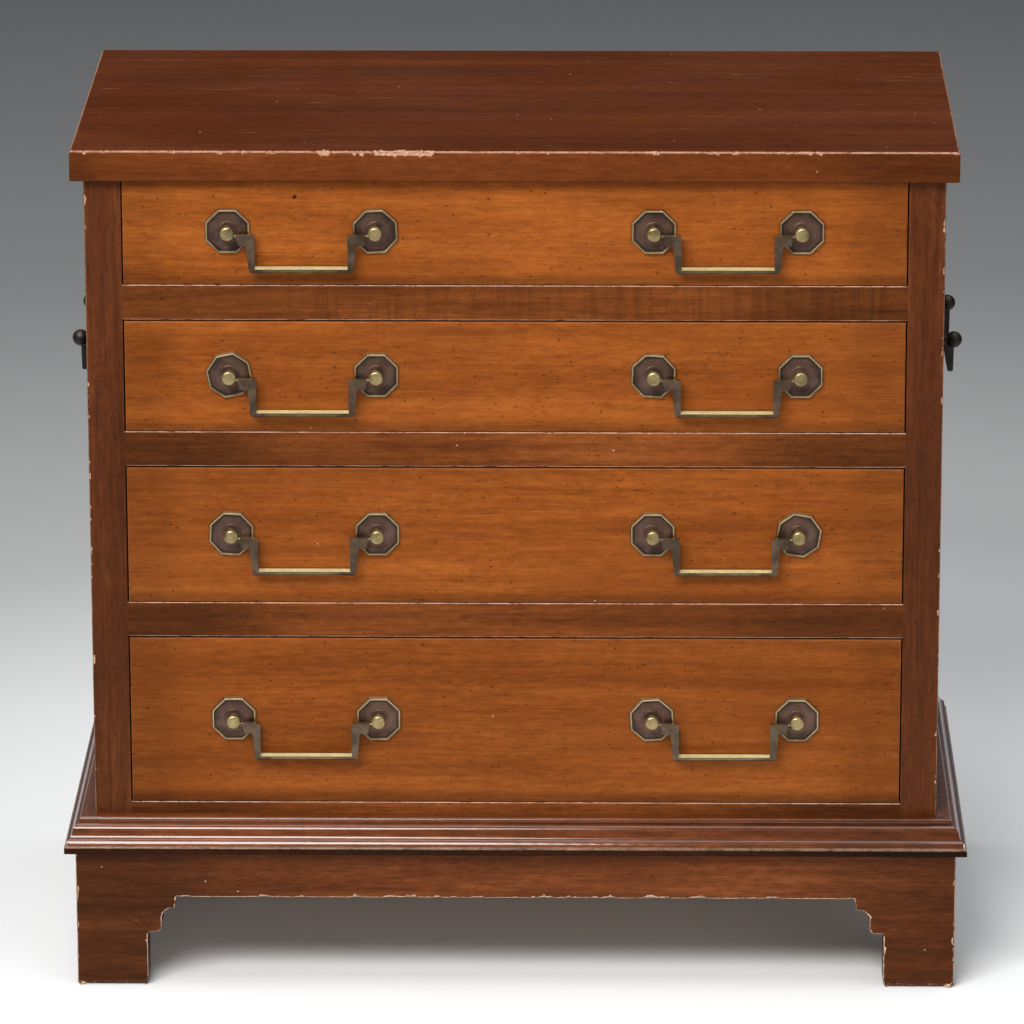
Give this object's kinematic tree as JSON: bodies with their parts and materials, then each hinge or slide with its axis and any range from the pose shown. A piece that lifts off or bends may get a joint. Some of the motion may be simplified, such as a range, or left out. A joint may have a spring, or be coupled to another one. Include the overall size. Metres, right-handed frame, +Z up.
{
  "type": "miniature chest of drawers",
  "caption": "Miniature chest with graduated inset drawers that slide, hinged bail pulls on octagonal rosettes, side carrying handles and an ogee-moulded bracket base.",
  "frame": {"origin": "on the floor under the middle of the chest's bounding box", "axes": "+Z up, -Y out of the drawer fronts, +X to the right as seen from the front"},
  "size_m": [0.4372, 0.2246, 0.4172],
  "materials": {
    "top_wood": "dark polished hardwood, fine scratches and worn edges",
    "case_wood": "dark polished hardwood with upright grain",
    "rail_wood": "polished red-brown hardwood with worn arrises",
    "front_wood": "polished honey-brown hardwood with small dark flecks",
    "base_wood": "polished red-brown hardwood, chipped on its edges",
    "secondary_wood": "unpolished pale softwood",
    "bronze": "dark brown patina, bright rim",
    "brass": "rubbed, lightly tarnished",
    "bail_bronze": "brown patina, rubbed to brass on the bar",
    "dark_bronze": "near-black patina",
    "steel": "dull"
  },
  "bodies": {
    "case": {"top_slab": "top_wood", "left_side": "case_wood", "right_side": "case_wood", "back_panel": "secondary_wood", "bottom_board": "secondary_wood", "rail_1": "rail_wood", "rail_2": "rail_wood", "rail_3": "rail_wood", "bottom_rail": "rail_wood", "runners": "secondary_wood", "drawer_stops": "secondary_wood", "back_screws": "steel", "front_moulding": "base_wood", "left_moulding": "base_wood", "right_moulding": "base_wood", "front_plinth": "base_wood", "left_plinth": "base_wood", "right_plinth": "base_wood", "back_plinth": "secondary_wood", "glue_blocks": "secondary_wood", "side_rosettes": "dark_bronze", "side_posts": "dark_bronze"},
    "left_side_bail": {"left_side_bail": "dark_bronze"},
    "right_side_bail": {"right_side_bail": "dark_bronze"},
    "drawer_1": {"drawer_1_front": "front_wood", "drawer_1_left_side": "secondary_wood", "drawer_1_right_side": "secondary_wood", "drawer_1_back": "secondary_wood", "drawer_1_bottom": "secondary_wood", "drawer_1_rosettes": "bronze", "drawer_1_posts": "brass"},
    "drawer_2": {"drawer_2_front": "front_wood", "drawer_2_left_side": "secondary_wood", "drawer_2_right_side": "secondary_wood", "drawer_2_back": "secondary_wood", "drawer_2_bottom": "secondary_wood", "drawer_2_rosettes": "bronze", "drawer_2_posts": "brass"},
    "drawer_3": {"drawer_3_front": "front_wood", "drawer_3_left_side": "secondary_wood", "drawer_3_right_side": "secondary_wood", "drawer_3_back": "secondary_wood", "drawer_3_bottom": "secondary_wood", "drawer_3_rosettes": "bronze", "drawer_3_posts": "brass"},
    "drawer_4": {"drawer_4_front": "front_wood", "drawer_4_left_side": "secondary_wood", "drawer_4_right_side": "secondary_wood", "drawer_4_back": "secondary_wood", "drawer_4_bottom": "secondary_wood", "drawer_4_rosettes": "bronze", "drawer_4_posts": "brass"},
    "drawer_1_left_bail": {"drawer_1_left_bail": "bail_bronze"},
    "drawer_1_right_bail": {"drawer_1_right_bail": "bail_bronze"},
    "drawer_2_left_bail": {"drawer_2_left_bail": "bail_bronze"},
    "drawer_2_right_bail": {"drawer_2_right_bail": "bail_bronze"},
    "drawer_3_left_bail": {"drawer_3_left_bail": "bail_bronze"},
    "drawer_3_right_bail": {"drawer_3_right_bail": "bail_bronze"},
    "drawer_4_left_bail": {"drawer_4_left_bail": "bail_bronze"},
    "drawer_4_right_bail": {"drawer_4_right_bail": "bail_bronze"}
  },
  "joints": [
    {"name": "drawer_1_slide", "type": "slide", "parent": "case", "child": "drawer_1", "axis": [0, -1, 0], "range_m": [0, 0.14]},
    {"name": "drawer_2_slide", "type": "slide", "parent": "case", "child": "drawer_2", "axis": [0, -1, 0], "range_m": [0, 0.14]},
    {"name": "drawer_3_slide", "type": "slide", "parent": "case", "child": "drawer_3", "axis": [0, -1, 0], "range_m": [0, 0.14]},
    {"name": "drawer_4_slide", "type": "slide", "parent": "case", "child": "drawer_4", "axis": [0, -1, 0], "range_m": [0, 0.14]},
    {"name": "drawer_1_left_bail_swing", "type": "hinge", "parent": "drawer_1", "child": "drawer_1_left_bail", "pos_m": [-0.101, -0.1032, 0.3756], "axis": [-1, 0, 0], "range_deg": [-8, 180]},
    {"name": "drawer_1_right_bail_swing", "type": "hinge", "parent": "drawer_1", "child": "drawer_1_right_bail", "pos_m": [0.101, -0.1032, 0.3756], "axis": [-1, 0, 0], "range_deg": [-8, 180]},
    {"name": "drawer_2_left_bail_swing", "type": "hinge", "parent": "drawer_2", "child": "drawer_2_left_bail", "pos_m": [-0.101, -0.1032, 0.30495], "axis": [-1, 0, 0], "range_deg": [-8, 180]},
    {"name": "drawer_2_right_bail_swing", "type": "hinge", "parent": "drawer_2", "child": "drawer_2_right_bail", "pos_m": [0.101, -0.1032, 0.30495], "axis": [-1, 0, 0], "range_deg": [-8, 180]},
    {"name": "drawer_3_left_bail_swing", "type": "hinge", "parent": "drawer_3", "child": "drawer_3_left_bail", "pos_m": [-0.101, -0.1032, 0.22605], "axis": [-1, 0, 0], "range_deg": [-8, 180]},
    {"name": "drawer_3_right_bail_swing", "type": "hinge", "parent": "drawer_3", "child": "drawer_3_right_bail", "pos_m": [0.101, -0.1032, 0.22605], "axis": [-1, 0, 0], "range_deg": [-8, 180]},
    {"name": "drawer_4_left_bail_swing", "type": "hinge", "parent": "drawer_4", "child": "drawer_4_left_bail", "pos_m": [-0.101, -0.1032, 0.13275], "axis": [-1, 0, 0], "range_deg": [-8, 180]},
    {"name": "drawer_4_right_bail_swing", "type": "hinge", "parent": "drawer_4", "child": "drawer_4_right_bail", "pos_m": [0.101, -0.1032, 0.13275], "axis": [-1, 0, 0], "range_deg": [-8, 180]},
    {"name": "left_side_bail_swing", "type": "hinge", "parent": "case", "child": "left_side_bail", "pos_m": [-0.2112, 0.0073, 0.3042], "axis": [0, 1, 0], "range_deg": [-8, 180]},
    {"name": "right_side_bail_swing", "type": "hinge", "parent": "case", "child": "right_side_bail", "pos_m": [0.2112, 0.0073, 0.3042], "axis": [0, -1, 0], "range_deg": [-8, 180]}
  ]
}
